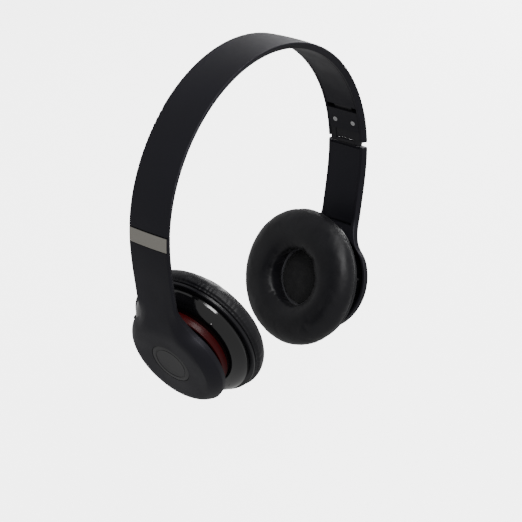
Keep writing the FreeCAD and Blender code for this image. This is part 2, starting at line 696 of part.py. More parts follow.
def audio_jack():
    """A 3.5 mm socket that opens downward through the housing's edge."""
    deep = JACK_MOUTH - JACK_LENGTH
    body = rod(JACK_OUT, V(-JACK_MOUTH, JACK_Y, JACK_Z), V(-deep + 1, JACK_Y, JACK_Z))
    return placed(body.cut(rod(JACK_R, V(-JACK_MOUTH - 1, JACK_Y, JACK_Z), V(-deep, JACK_Y, JACK_Z))), CUP)


def main_board():
    """The circuit board: a curved board with its chip and the switches behind the keys."""
    low, top, reach = 10.9, 11.8, 13.4
    board = sector(21.6, 30.6, low, top, 70)
    board = radial(board, 125)
    chip = radial(box(23.0, 28.5, -2.5, 2.5, top, top + 1), 174)
    tact = radial(box(25.5, 29.2, -3, 3, top, reach), POWER_ANGLE)
    for off in (-11, 11):
        tact = tact.fuse(radial(box(27.0, 30.6, -1.6, 1.6, top, reach), ROCKER_ANGLE + off))
    board = board.fuse(chip).fuse(tact)
    board = board.cut(rod(BOSS_R + 0.3, around(135, BOSS_AT, 5), around(135, BOSS_AT, 16)))
    board = board.cut(rod(JACK_OUT + 0.1, V(-40, JACK_Y, JACK_Z), V(-10, JACK_Y, JACK_Z)))
    board = board.cut(box(-40, -28.2, -4.3, 4.3, 10.3, 14))
    return placed(board.removeSplitter(), CUP)


def battery():
    """A pouch cell beside the driver."""
    cell = box(21.2, 30.6, -11.0, 11.0, 10.6, 14.2)
    upright = [e for e in cell.Edges if abs(e.CenterOfMass.z - 12.4) < 0.1]
    cell = cell.makeFillet(0.8, upright)
    return placed(cell.common(rod(30.6, V(0, 0, 0), V(0, 0, 20))), CUP)


# ---------------------------------------------------------------- output
def side_parts(side):
    return {
        "slide_guide": slide_guide(),
        "slider_block": slider_block(),
        "slider_blade": slider_blade(),
        "block_cover": block_cover(),
        "cover_screws": cover_screws(),
        "hinge_pin": hinge_pin(),
        "arm_shell": arm_shell(),
        "arm_liner": arm_liner(),
        "hinge_leaf": hinge_leaf(),
        "name_plate": name_plate(),
        "emblem": emblem(),
        "gimbal_brackets": gimbal_brackets(),
        "bracket_screws": bracket_screws(),
        "gimbal_ring": gimbal_ring(),
        "gimbal_pins": gimbal_pins(),
        "cup_housing": cup_housing(side),
        "accent_ring": accent_ring(),
        "baffle": baffle(),
        "baffle_screws": baffle_screws(),
        "driver_frame": driver_frame(),
        "driver_magnet": driver_magnet(),
        "driver_diaphragm": driver_diaphragm(),
        "driver_cloth": driver_cloth(),
        "ear_cushion": ear_cushion(),
    }


def on_side(shape, sign, drawn):
    """Slides a shape down the arch by drawn degrees, then mirrors it if it is for -X."""
    shape = shape.copy()
    shape.rotate(V(0, 0, ARCH_Z), V(0, 1, 0), drawn)
    return shape.mirror(V(0, 0, 0), V(1, 0, 0)) if sign < 0 else shape


def all_parts():
    parts = {
        "headband_shell": headband_shell(),
        "headband_liner": headband_liner(),
        "spring_strip": spring_strip(),
        "crossover_wire": crossover_wire(),
    }
    for side, sign in SIDES.items():
        for name, shape in side_parts(side).items():
            drawn = 0.0 if name == "slide_guide" else DRAWN_OUT[side]
            parts[f"{side}_{name}"] = on_side(shape, sign, drawn)
    parts["left_battery"] = on_side(battery(), 1, DRAWN_OUT["left"])
    for name, make in (
        ("main_board", main_board),
        ("charge_port", charge_port),
        ("audio_jack", audio_jack),
        ("power_button", power_button),
        ("volume_rocker", volume_rocker),
    ):
        parts[f"right_{name}"] = on_side(make(), -1, DRAWN_OUT["right"])
    return parts


def main():
    os.makedirs("parts", exist_ok=True)
    for name, shape in all_parts().items():
        closed = all(s.isValid() and s.isClosed() and s.Volume > 0 for s in shape.Solids)
        if not shape.Solids or not closed:
            print("PROBLEM", name, len(shape.Solids), [s.isValid() for s in shape.Solids])
        print(f"{name}: {len(shape.Solids)} solid(s), {shape.Volume:.1f} mm3")
        shape.exportStep(os.path.join("parts", name + ".step"))


main()
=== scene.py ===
import json
import math
import random

import bmesh
import bpy
from mathutils import Matrix, Vector, noise


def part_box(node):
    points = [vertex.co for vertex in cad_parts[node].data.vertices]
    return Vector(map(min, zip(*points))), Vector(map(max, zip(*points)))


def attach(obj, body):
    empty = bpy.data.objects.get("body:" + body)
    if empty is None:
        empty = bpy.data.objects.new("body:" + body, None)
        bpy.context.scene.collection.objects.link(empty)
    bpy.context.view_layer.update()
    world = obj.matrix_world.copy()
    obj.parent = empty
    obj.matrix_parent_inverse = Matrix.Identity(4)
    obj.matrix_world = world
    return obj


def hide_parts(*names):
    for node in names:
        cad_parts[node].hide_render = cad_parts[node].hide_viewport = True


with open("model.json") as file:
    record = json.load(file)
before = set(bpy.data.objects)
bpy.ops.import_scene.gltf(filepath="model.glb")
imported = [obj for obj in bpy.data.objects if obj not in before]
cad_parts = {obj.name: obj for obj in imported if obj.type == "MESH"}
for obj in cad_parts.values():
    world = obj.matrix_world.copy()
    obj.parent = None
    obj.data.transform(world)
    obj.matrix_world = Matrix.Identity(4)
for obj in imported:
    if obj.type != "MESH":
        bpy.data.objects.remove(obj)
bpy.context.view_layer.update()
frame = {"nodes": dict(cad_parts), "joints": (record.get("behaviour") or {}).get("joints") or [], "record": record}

# A folding on-ear headset. Lengths are in millimetres until a mesh is made, then in metres.
MM = 0.001
NODES = frame["nodes"]
JOINTS = {j["name"]: j for j in frame["joints"]}
SIDES = {"left": 1, "right": -1}

# ---- the frame's own places ----
ARCH_Z = JOINTS["left_size_slide"]["pos_m"][2] / MM
BAND_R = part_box("headband_shell")[1].z / MM - ARCH_Z
BAND_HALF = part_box("headband_shell")[1].y / MM
GIMBAL = Vector(JOINTS["right_tilt"]["pos_m"]) / MM
GIMBAL.x = -GIMBAL.x
CUP_UP = Vector(JOINTS["right_swivel"]["axis"])
CUP_UP.x = -CUP_UP.x
CUP_TOE = 6.0

# ---- the arm and its round cap ----
CAP_CENTRE = Vector((68.8, 0, -151.5))
CAP_TILT = 21.2
CAP_R = 29.5
CAP_FACE_R = 23.6
CAP_BEVEL = CAP_R - CAP_FACE_R
CAP_EDGE_Z = 5.4
CAP_LIP_Z = 8.5
CAP_INNER_R = 27.9
CAP_FLOOR = 1.8
CAP_FLOOR_R = 23.3
# The room the tilting cup needs inside the cap, as (radius, depth below the cap's face).
CAVITY = [(0, 1.95), (22.5, 1.95), (24.4, 2.4), (25.8, 3.3), (26.9, 4.9), (27.6, 6.8), (27.85, 8.4)]
CAVITY += [(27.85, 15), (0, 15)]
ARM_TOP_ANGLE = 85.4
ARM_ARC_END = 94.0
ARM_TILT = 8.5
EASE_R = 200.0
STRAP_LIP_Z = 4.0
STRAP_EDGE_Z = 1.3
STRAP_ROUND = 1.0
STRAP_DRAFT = 1.6
STRAP_CROWN = 0.4
CHANNEL_HALF = 10.0
CHANNEL_Z = 3.05
ROOT_TOP, CHANNEL_END = 34.2, 34.3
FLARE_R = 25.0
MERGE_LOW, MERGE_HIGH = 21.0, 40.0
PLATE_TOP, PLATE_END = 85.5, 91.05
PLATE_DEPTH = 0.62
PLATE_MARGIN = 0.62
EMBLEM_R = 12.0
EMBLEM_SEAT = 0.6

# ---- ear cushion, in the cup's frame ----
PAD_Z = 16.95
PAD_R = 38.0
PAD_BASE_R = 36.7
PAD_CROWN_R = 23.6
PAD_HOLE = 16.2
PAD_SPAN = 13.6
PAD_WIDE_AT = 4.4
PAD_INNER_AT = 7.0
PAD_SEGMENTS = 112
PAD_PLEATS = 92
COVER_R = 15.3

# ---- the studio, in metres, and the camera ----
FLOOR_Z, FLOOR_HALF, FLOOR_GLOW = -0.25, 6.0, 4.0
WORLD_GLOW = 0.5
CAMERA_AZIMUTH, CAMERA_ELEVATION = -50.75, 25.73
CAMERA_LENS, CAMERA_DISTANCE = 110.45, 0.80372
CAMERA_RIGHT, CAMERA_DROP, CAMERA_RISE = 0.00295, 0.11043, 0.004


# ---------------------------------------------------------------- frames and meshes
def local_frame(origin, up, toe=0.0):
    """Local X up, Y towards the back, Z inward, at origin, for the left side."""
    inward = Vector((-up.z, 0, up.x))
    inward.rotate(Matrix.Rotation(math.radians(-toe), 3, up))
    side = inward.cross(up)
    columns = Matrix((up, side, inward)).transposed()
    return Matrix.Translation(origin) @ columns.to_4x4()


def tilted(angle):
    """The upward direction along a face that leans by an angle from upright, in degrees."""
    return Vector((math.sin(math.radians(angle)), 0, math.cos(math.radians(angle))))


CAP_FRAME = local_frame(CAP_CENTRE, tilted(CAP_TILT))
CUP_FRAME = local_frame(GIMBAL, CUP_UP, CUP_TOE)


def drawn_out(sign):
    """How far the slider of this side stands out at rest, as a turn about the arch's centre."""
    if sign > 0:
        low = JOINTS["left_size_slide"]["range_deg"][0]
    else:
        low = -JOINTS["right_size_slide"]["range_deg"][1]
    about = Matrix.Translation((0, 0, ARCH_Z))
    return about @ Matrix.Rotation(math.radians(-low), 4, "Y") @ about.inverted()


DRAWN = {sign: drawn_out(sign) for sign in SIDES.values()}
HOME = {sign: DRAWN[sign].inverted() for sign in SIDES.values()}


def to_side(point, sign):
    """A point of the undrawn left side, in millimetres, to its place on either side, in metres."""
    placed = DRAWN[sign] @ point
    return Vector((sign * placed.x, placed.y, placed.z)) * MM


def from_side(co, sign):
    """The other way round."""
    return HOME[sign] @ (Vector((sign * co.x, co.y, co.z)) / MM)


def piece(name, bm, material, body, replaced=(), smooth_angle=40.0):
    """Turns a bmesh into an object with one material, riding on a body."""
    bmesh.ops.remove_doubles(bm, verts=bm.verts, dist=1e-6)
    bmesh.ops.recalc_face_normals(bm, faces=bm.faces)
    mesh = bpy.data.meshes.new(name)
    bm.to_mesh(mesh)
    bm.free()
    obj = bpy.data.objects.new(name, mesh)
    bpy.context.scene.collection.objects.link(obj)
    mesh.materials.append(material)
    soften(obj, smooth_angle)
    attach(obj, body)
    if replaced:
        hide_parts(*replaced)
    return obj


def soften(obj, angle):
    """Smooth shading, with edges sharper than the angle kept sharp."""
    bm = bmesh.new()
    bm.from_mesh(obj.data)
    for face in bm.faces:
        face.smooth = True
    for edge in bm.edges:
        edge.smooth = not (edge.is_manifold and edge.calc_face_angle(0) > math.radians(angle))
    bm.to_mesh(obj.data)
    bm.free()


def skin(rows, closed=True, wrap=False):
    """A quad grid through rows of points; closed joins each row's ends, wrap the last row to the first."""
    bm = bmesh.new()
    grid = [[bm.verts.new(p) for p in row] for row in rows]
    row_pairs = list(zip(grid, grid[1:] + grid[:1] if wrap else grid[1:]))
    for one, two in row_pairs:
        count = len(one)
        for j in range(count if closed else count - 1):
            k = (j + 1) % count
            bm.faces.new((one[j], one[k], two[k], two[j]))
    return bm, grid


def lathe(profile, place, sign, segments=128):
    """A closed solid of revolution about the place's local Z from (radius, height) points."""
    rows = []
    for i in range(segments):
        a = 2 * math.pi * i / segments
        spot = lambda r, z: place @ Vector((r * math.cos(a), r * math.sin(a), z))
        rows.append([to_side(spot(r, z), sign) for r, z in profile])
    bm, _ = skin(rows, closed=True, wrap=True)
    bmesh.ops.remove_doubles(bm, verts=bm.verts, dist=1e-6)
    bmesh.ops.dissolve_degenerate(bm, edges=bm.edges, dist=1e-7)
    return bm


def smoothstep(low, high, x):
    t = min(1.0, max(0.0, (x - low) / (high - low)))
    return t * t * (3 - 2 * t)


def mix(a, b, t):
    """The value a fraction t of the way from a to b."""
    return a + (b - a) * t


# ---------------------------------------------------------------- materials
def new_material(name, colour, roughness, **sockets):
    """A Principled material; constant values go straight onto the shader's sockets."""
    mat = bpy.data.materials.new(name)
    mat.use_nodes = True
    shader = mat.node_tree.nodes["Principled BSDF"]
    shader.inputs["Base Color"].default_value = (*colour, 1)
    shader.inputs["Roughness"].default_value = roughness
    for socket, value in sockets.items():
        shader.inputs[socket.replace("_", " ")].default_value = value
    return mat, shader


def node(mat, kind, **inputs):
    made = mat.node_tree.nodes.new(kind)
    for key, value in inputs.items():
        made.inputs[key.replace("_", " ")].default_value = value
    return made


def texture(mat, kind, size_mm, stretch=(1, 1, 1), **inputs):
    """A noise-like texture in the object's own metres, with features about size_mm across."""
    coords = mat.node_tree.nodes.new("ShaderNodeTexCoord")
    mapping = mat.node_tree.nodes.new("ShaderNodeMapping")
    mapping.inputs["Scale"].default_value = [s / (size_mm * MM) for s in stretch]
    made = node(mat, kind, Scale=1.0, **inputs)
    mat.node_tree.links.new(coords.outputs["Object"], mapping.inputs["Vector"])
    mat.node_tree.links.new(mapping.outputs["Vector"], made.inputs["Vector"])
    return made


def ramp(mat, source, low, high, start=0.35, end=0.65, output=0):
    """Maps a texture's value to a colour or value between low and high."""
    made = mat.node_tree.nodes.new("ShaderNodeValToRGB")
    ends = made.color_ramp.elements
    ends[0].position, ends[1].position = start, end
    ends[0].color = (*low, 1) if isinstance(low, tuple) else (low, low, low, 1)
    ends[1].color = (*high, 1) if isinstance(high, tuple) else (high, high, high, 1)
    mat.node_tree.links.new(source.outputs[output], made.inputs["Fac"])
    return made


def bump(mat, shader, source, height_mm, strength, output=0, below=None):
    """Adds a bump from a texture, on top of an earlier bump if one is given."""
    made = node(mat, "ShaderNodeBump", Distance=height_mm * MM, Strength=strength)
    mat.node_tree.links.new(source.outputs[output], made.inputs["Height"])
    if below:
        mat.node_tree.links.new(below.outputs["Normal"], made.inputs["Normal"])
    mat.node_tree.links.new(made.outputs["Normal"], shader.inputs["Normal"])
    return made


def drive(mat, shader, socket, source):
    """Feeds a shader's socket from a colour."""
    mat.node_tree.links.new(source.outputs["Color"], shader.inputs[socket])


def moulded(name, colour, roughness, grain_mm, grain_height, spread=0.06, **sockets):
    """Moulded plastic: a fine spark-eroded grain, with broad patches of wear and handling."""
    mat, shader = new_material(name, colour, roughness, **sockets)
    patches = texture(mat, "ShaderNodeTexNoise", 22, Detail=5.0, Roughness=0.6)
    drive(mat, shader, "Roughness", ramp(mat, patches, roughness - spread, roughness + spread))
    tint = texture(mat, "ShaderNodeTexNoise", 35, Detail=3.0)
    light = tuple(c * 1.18 for c in colour)
    drive(mat, shader, "Base Color", ramp(mat, tint, colour, light, 0.3, 0.7))
    grain = texture(mat, "ShaderNodeTexNoise", grain_mm, Detail=2.0)
    bump(mat, shader, grain, grain_height, 0.5)
    return mat


def gloss(name, colour, roughness, **sockets):
    """Polished plastic: faint waviness and fingerprints that change the gloss."""
    mat, shader = new_material(name, colour, roughness, **sockets)
    prints = texture(mat, "ShaderNodeTexNoise", 9, Detail=6.0, Roughness=0.65)
    drive(mat, shader, "Roughness", ramp(mat, prints, roughness, roughness + 0.07, 0.42, 0.7))
    deep = tuple(c * 0.8 for c in colour)
    tone = texture(mat, "ShaderNodeTexNoise", 18, Detail=2.0)
    drive(mat, shader, "Base Color", ramp(mat, tone, deep, colour))
    wave = texture(mat, "ShaderNodeTexNoise", 6, Detail=1.0)
    bump(mat, shader, wave, 0.01, 0.25)
    return mat


def metal(name, colour, roughness, stretch=(1, 1, 1), line_mm=0.3):
    """Brushed or bright metal: fine drawn lines along one direction."""
    mat, shader = new_material(name, colour, roughness, Metallic=1.0)
    lines = texture(mat, "ShaderNodeTexNoise", line_mm, stretch=stretch, Detail=4.0, Roughness=0.6)
    drive(mat, shader, "Roughness", ramp(mat, lines, roughness - 0.08, roughness + 0.12, 0.3, 0.7))
    dull = tuple(c * 0.82 for c in colour)
    drive(mat, shader, "Base Color", ramp(mat, lines, dull, colour, 0.25, 0.75))
    bump(mat, shader, lines, 0.008, 0.35)
    return mat


def leatherette():
    """Thin protein leather: pebbled grain, softer sheen on the worn crown."""
    mat, shader = new_material(
        "leatherette", (0.006, 0.006, 0.007), 0.42, Sheen_Weight=0.04, Sheen_Roughness=0.4,
        Specular_IOR_Level=0.3,
    )
    wear = texture(mat, "ShaderNodeTexNoise", 14, Detail=4.0, Roughness=0.6)
    drive(mat, shader, "Roughness", ramp(mat, wear, 0.34, 0.5))
    tint = texture(mat, "ShaderNodeTexNoise", 20, Detail=3.0)
    drive(mat, shader, "Base Color", ramp(mat, tint, (0.005, 0.0048, 0.0066), (0.009, 0.0088, 0.0110)))
    creases = texture(mat, "ShaderNodeTexNoise", 3.2, Detail=3.0)
    pebbles = texture(mat, "ShaderNodeTexVoronoi", 0.55)
    soft = bump(mat, shader, creases, 0.06, 0.25)
    bump(mat, shader, pebbles, 0.03, 0.35, below=soft)
    return mat


def knit():
    """Fine black knit over the driver: crossed ribs in both directions."""
    mat, shader = new_material("knit_cloth", (0.008, 0.008, 0.009), 0.9, Sheen_Weight=0.08)
    tint = texture(mat, "ShaderNodeTexNoise", 5, Detail=4.0)
    drive(mat, shader, "Base Color", ramp(mat, tint, (0.005, 0.005, 0.006), (0.012, 0.012, 0.013)))
    ribs = texture(mat, "ShaderNodeTexWave", 3.4, Distortion=0.3, Detail=1.0)
    ribs.bands_direction = "Y"
    rows = texture(mat, "ShaderNodeTexWave", 3.4, Distortion=0.3, Detail=1.0)
    rows.bands_direction = "Z"
    first = bump(mat, shader, ribs, 0.08, 0.6)
    bump(mat, shader, rows, 0.08, 0.6, below=first)
    return mat


def board_mask():
    """Solder mask with lighter tracks under it."""
    mat, shader = new_material("solder_mask", (0.01, 0.07, 0.035), 0.35)
    tracks = texture(mat, "ShaderNodeTexVoronoi", 1.6)
    drive(mat, shader, "Base Color", ramp(mat, tracks, (0.02, 0.12, 0.06), (0.008, 0.055, 0.03), 0.1, 0.2))
    bump(mat, shader, tracks, 0.03, 0.4)
    return mat


COOL_TINT = (0.9, 0.88, 1.0, 1.0)
MATERIALS = {
    "soft_touch_black": moulded(
        "soft_touch", (0.0075, 0.0073, 0.0098), 0.46, 0.22, 0.02, Specular_IOR_Level=0.26,
        Specular_Tint=COOL_TINT),
    "inner_plastic": moulded(
        "inner_plastic", (0.008, 0.0078, 0.0102), 0.45, 0.3, 0.03, Specular_IOR_Level=0.3),
    "satin_black": moulded(
        "satin_plastic", (0.007, 0.0068, 0.0088), 0.3, 0.35, 0.02, Specular_IOR_Level=0.32),
    "gloss_black": gloss("gloss_black", (0.0035, 0.0035, 0.004), 0.09, Coat_Weight=0.4, Coat_Roughness=0.05),
    "gloss_red": gloss("gloss_red", (0.048, 0.0006, 0.0014), 0.32, Specular_IOR_Level=0.22),
    "satin_silver": metal("satin_silver", (0.40, 0.385, 0.35), 0.42, (0.06, 1, 1), 0.25),
    "spring_steel": metal("spring_steel", (0.07, 0.07, 0.075), 0.42, (1, 0.06, 1)),
    "bright_steel": metal("bright_steel", (0.55, 0.55, 0.56), 0.22, (1, 1, 1), 0.15),
    "dark_iron": metal("dark_iron", (0.16, 0.16, 0.17), 0.4),
    "film": gloss("film", (0.20, 0.20, 0.22), 0.25),
    "cloth_black": knit(),
    "leatherette_black": leatherette(),
    "foil": metal("foil", (0.62, 0.62, 0.64), 0.35, (1, 1, 1), 2.5),
    "circuit_board": board_mask(),
    "wire_black": moulded("wire_black", (0.012, 0.012, 0.013), 0.5, 0.4, 0.02),
}


def dress_cad_nodes():
    """Gives every CAD node the material of its own slot."""
    for part in frame["record"]["subparts"]:
        obj = NODES[part["node"]]
        for material_slot in obj.material_slots:
            material_slot.material = MATERIALS[part["material_slot"]]


# ---------------------------------------------------------------- arm and cap
def arm_spine():
    """Stations down the middle of the arm's outer face: (height above the cap's centre, point, tilt)."""
    top = math.radians(ARM_TOP_ANGLE)
    arc_1 = BAND_R * math.radians(ARM_ARC_END - ARM_TOP_ANGLE)
    arc_2 = EASE_R * math.radians(90 + ARM_TILT - ARM_ARC_END)
    ease_end = Vector((BAND_R * math.sin(math.radians(ARM_ARC_END)), 0, 0))
    ease_end.z = ARCH_Z + BAND_R * math.cos(math.radians(ARM_ARC_END))
    leave, arrive = math.radians(ARM_ARC_END), math.radians(90 + ARM_TILT)
    ease_end.x += EASE_R * (math.sin(arrive) - math.sin(leave))
    ease_end.z += EASE_R * (math.cos(arrive) - math.cos(leave))
    down, face_up = -tilted(ARM_TILT), tilted(CAP_TILT)
    across = Vector((face_up.z, 0, -face_up.x))
    straight = (CAP_CENTRE - ease_end).dot(across) / down.dot(across)
    crease = ease_end + down * straight
    crease_height = (crease - CAP_CENTRE).dot(face_up)
    crease_at = arc_1 + arc_2 + straight
    total = crease_at + crease_height + CAP_R
    here = Vector((BAND_R * math.sin(top), 0, ARCH_Z + BAND_R * math.cos(top)))
    step = 0.05
    stations, s = [], 0.0
    while s <= total + step:
        stations.append((crease_at + crease_height - s, here.copy(), spine_tilt(s, arc_1, arc_2, crease_at)))
        here = here - tilted(stations[-1][2]) * step
        s += step
    return stations


def spine_tilt(s, arc_1, arc_2, crease_at):
    """The arm's lean from upright, in degrees, a distance s below its top."""
    arch = ARM_TOP_ANGLE - 90 + math.degrees(min(s, arc_1) / BAND_R)
    ease = math.degrees(max(0, min(s - arc_1, arc_2)) / EASE_R)
    return arch + ease + (CAP_TILT - ARM_TILT) * smoothstep(crease_at - 5, crease_at + 5, s)


def flare_heights():
    """Where the flare leaves the strap's edge, and where it meets the cap's circle."""
    reach = CAP_R + FLARE_R
    flare_top = math.sqrt(reach**2 - (BAND_HALF + FLARE_R) ** 2)
    return flare_top, flare_top * CAP_R / reach


def half_width(h):
    """Half the arm's width at height h above the cap's centre: strap, flare, then round cap."""
    flare_top, flare_low = flare_heights()
    if h >= flare_top:
        return BAND_HALF
    if h >= flare_low:
        return BAND_HALF + FLARE_R - math.sqrt(max(0, FLARE_R**2 - (flare_top - h) ** 2))
    return math.sqrt(max(0, CAP_R**2 - h * h))


def edge_distance(h, v):
    """The distance from a point on the arm's or cap's face to its outline."""
    flare_top, _ = flare_heights()
    middle = BAND_HALF + FLARE_R
    if h >= flare_top:
        return BAND_HALF - abs(v)
    if h > 0 and abs(v) * flare_top < h * middle:
        return min(BAND_HALF + abs(v), math.hypot(h - flare_top, abs(v) - middle) - FLARE_R)
    return CAP_R - math.hypot(v, h)


def outer_depth(h, v, plate):
    """How far the outer face lies inward of the spine, at height h and v across."""
    d = max(0.0, edge_distance(h, v))
    k = 1 - smoothstep(MERGE_LOW, MERGE_HIGH, h)
    round_d = max(0.0, STRAP_ROUND - d) / STRAP_ROUND
    strap = STRAP_CROWN * (v / BAND_HALF) ** 2
    strap += (STRAP_EDGE_Z - STRAP_CROWN) * (1 - math.sqrt(1 - round_d**2))
    q = max(0.0, CAP_BEVEL - d) / CAP_BEVEL
    cap = CAP_EDGE_Z * (0.5 * q + 0.5 * q**3)
    if plate and d > PLATE_MARGIN:
        strap += PLATE_DEPTH
    return mix(strap, cap, k)


def arm_section(h, plate):
    """Half of the arm's section at height h, as (across, inward) points from the middle out and back."""
    w = half_width(h)
    k = 1 - smoothstep(MERGE_LOW, MERGE_HIGH, h)
    edge = [6.4, CAP_BEVEL, 5.5, 4.8, 4.0, 3.2, 2.4, 1.7, 1.1, 0.8, PLATE_MARGIN + 0.01, PLATE_MARGIN - 0.01]
    edge += [0.4, 0.2, 0.08, 0.0]
    middle = max(0.0, w - edge[0])
    distances = [w - middle * i / 5 for i in range(5)] + [min(w, d) for d in edge]
    points = [(w - d, outer_depth(h, w - d, plate)) for d in distances]
    lip = mix(STRAP_LIP_Z, CAP_LIP_Z, k)
    draft = mix(STRAP_DRAFT, 0.3, k)
    edge_z = points[-1][1]
    foot = max(0.0, w - draft)
    for t in (0.3, 0.7, 0.93):
        points.append((max(0.0, w - draft * t), mix(edge_z, lip, t)))
    points.append((max(0.0, foot - 0.12), lip - 0.08))
    points.append((max(0.0, foot - 0.35), lip))
    points += inner_points(h, foot, lip)
    return points


def inner_points(h, foot, lip):
    """The section's inside: the strap's shallow channel, a solid root, or the cap's bowl."""
    if h >= CHANNEL_END:
        wall = [(CHANNEL_HALF, lip), (CHANNEL_HALF, CHANNEL_Z), (CHANNEL_HALF / 2, CHANNEL_Z)]
        return wall + [(0, CHANNEL_Z)] * 6
    inside = math.sqrt(max(0.0, CAP_INNER_R**2 - h * h)) if abs(h) < CAP_INNER_R else 0.0
    if inside == 0.0:
        width = min(CHANNEL_HALF, foot) if h > 0 else 0.0
        return [(width, lip), (width, lip), (width / 2, lip)] + [(0, lip)] * 6
    points = [(inside, lip)]
    for i in range(1, 7):
        v = inside * (1 - 0.5 * (i / 6) ** 1.6)
        points.append((v, bowl_depth(math.hypot(v, h), lip)))
    near = inside * 0.25
    return points + [(near, bowl_depth(math.hypot(near, h), lip)), (0, bowl_depth(abs(h), lip))]


def bowl_depth(r, lip):
    """The cap's inner surface: a flat floor that curves up to the lip."""
    t = min(1.0, max(0.0, (r - CAP_FLOOR_R) / (CAP_INNER_R - CAP_FLOOR_R)))
    return CAP_FLOOR + (lip - CAP_FLOOR) * (1 - math.sqrt(max(0.0, 1 - t**2.2)))


def arm_rows(stations):
    """Heights for the mesh's rows: close together at the cap's foot, the rim and the plate's seat."""
    top = stations[0][0]
    bend = BAND_R * math.radians(1)
    plate_rows = [top - (PLATE_TOP - ARM_TOP_ANGLE) * bend, top - (PLATE_END - ARM_TOP_ANGLE) * bend]
    heights = [-CAP_R * math.cos(math.radians(3.2 * i)) for i in range(0, 43)]
    heights += [h for h in (-CAP_INNER_R - 0.01, -CAP_INNER_R + 0.02, -CAP_INNER_R + 0.4)]
    heights += [CAP_INNER_R - 0.4, CAP_INNER_R - 0.02, CAP_INNER_R + 0.01, ROOT_TOP - 0.1, CHANNEL_END + 0.05]
    h = heights[42] + 1.0
    while h < top - 0.3:
        heights.append(h)
        h += 1.0
    for at in plate_rows:
        heights += [at - 0.02, at + 0.02]
    heights += [top - 0.12, top]
    return sorted(set(round(x, 3) for x in heights)), plate_rows


def arm_shell(side, sign):
    """The arm and cap in one moulding, with the name plate's seat and the emblem's recess."""
    stations = arm_spine()
    heights, plate_rows = arm_rows(stations)
    rows = []
    for h in heights:
        _, point, tilt = min(stations, key=lambda st: abs(st[0] - h))
        inward = Vector((-tilted(tilt).z, 0, tilted(tilt).x))
        plate = plate_rows[1] < h < plate_rows[0]
        half = arm_section(h, plate)
        pinch = 0.12 if h > stations[0][0] - 0.06 else 0.0
        ring = [(v, z) for v, z in half] + [(-v, z) for v, z in reversed(half)]
        spot = lambda v, z: point + inward * mix(z, 2.0, pinch) + Vector((0, v * (1 - pinch * 0.2), 0))
        rows.append([to_side(spot(v, z), sign) for v, z in ring])
    bm, grid = skin(rows)
    bm.faces.new(grid[-1])
    bmesh.ops.remove_doubles(bm, verts=bm.verts, dist=2e-6)
    bmesh.ops.dissolve_degenerate(bm, edges=bm.edges, dist=1e-6)
    obj = piece(
        f"{side}_arm_moulding", bm, MATERIALS["soft_touch_black"], f"{side}_arm",
        (f"{side}_arm_shell",), 35,
    )
    carve(obj, lathe([(0, -3), (EMBLEM_R + 0.12, -3), (EMBLEM_R + 0.12, EMBLEM_SEAT), (0, EMBLEM_SEAT)],
                     CAP_FRAME, sign, 96))
    carve(obj, lathe(CAVITY, CAP_FRAME, sign, 96))
    soften(obj, 35)
    return obj


def carve(obj, cutter_bm):
    """Subtracts a closed bmesh from an object's mesh."""
    bmesh.ops.recalc_face_normals(cutter_bm, faces=cutter_bm.faces)
    mesh = bpy.data.meshes.new("cutter")
    cutter_bm.to_mesh(mesh)
    cutter_bm.free()
    cutter = bpy.data.objects.new("cutter", mesh)
    bpy.context.scene.collection.objects.link(cutter)
    mod = obj.modifiers.new("carve", "BOOLEAN")
    mod.operation, mod.object, mod.solver = "DIFFERENCE", cutter, "EXACT"
    apply_modifiers(obj)
    bpy.data.objects.remove(cutter)


def apply_modifiers(obj):
    """Replaces an object's mesh with what its modifiers make of it."""
    bpy.context.view_layer.update()
    depsgraph = bpy.context.evaluated_depsgraph_get()
    made = bpy.data.meshes.new_from_object(obj.evaluated_get(depsgraph))
    obj.modifiers.clear()
    obj.data = made


def emblem(side, sign):
    """A plain round badge: a raised rim, a ring groove and a slightly dished middle."""
    r, z = EMBLEM_R, EMBLEM_SEAT
    profile = [(0, 0.22), (4, 0.2), (8.6, 0.12), (9.0, 0.1), (9.15, 0.3), (9.55, 0.3), (9.7, 0.08)]
    profile += [(11.3, 0.06), (11.8, 0.1), (r, 0.3), (r, z), (0, z)]
    bm = lathe(profile, CAP_FRAME, sign, 128)
    return piece(
        f"{side}_badge", bm, MATERIALS["satin_black"], f"{side}_arm",
        (f"{side}_emblem",), 25,
    )


# ---------------------------------------------------------------- ear cushion
def quarter(centre, across, height, start, end, count=7):
    """Points round a quarter of an ellipse, from the start angle up to but not at the end angle."""
    points = []
    for i in range(count):
        a = math.radians(mix(start, end, i / count))
        points.append((centre[0] + across * math.cos(a), centre[1] + height * math.sin(a)))
    return points


def pad_profile():
    """The cushion's section as (radius, height): over the crown from the hole, then down the skirt."""
    crown, wide, inner = PAD_Z + PAD_SPAN, PAD_Z + PAD_WIDE_AT, PAD_Z + PAD_INNER_AT
    points = [(PAD_HOLE + 0.5, PAD_Z), (PAD_HOLE + 0.25, mix(PAD_Z, inner, 0.33))]
    points += [(PAD_HOLE + 0.05, mix(PAD_Z, inner, 0.67))]
    points += quarter((PAD_CROWN_R, inner), PAD_CROWN_R - PAD_HOLE, crown - inner, 180, 90)
    points += quarter((PAD_CROWN_R, wide), PAD_R - PAD_CROWN_R, crown - wide, 90, 0, 11)
    points += quarter((PAD_BASE_R, wide), PAD_R - PAD_BASE_R, wide - PAD_Z, 0, -80, 6)
    points += [(PAD_BASE_R - 0.2, PAD_Z + 0.03), (PAD_BASE_R - 3, PAD_Z), (PAD_CROWN_R + 3, PAD_Z)]
    return points + [(PAD_CROWN_R - 3, PAD_Z)]


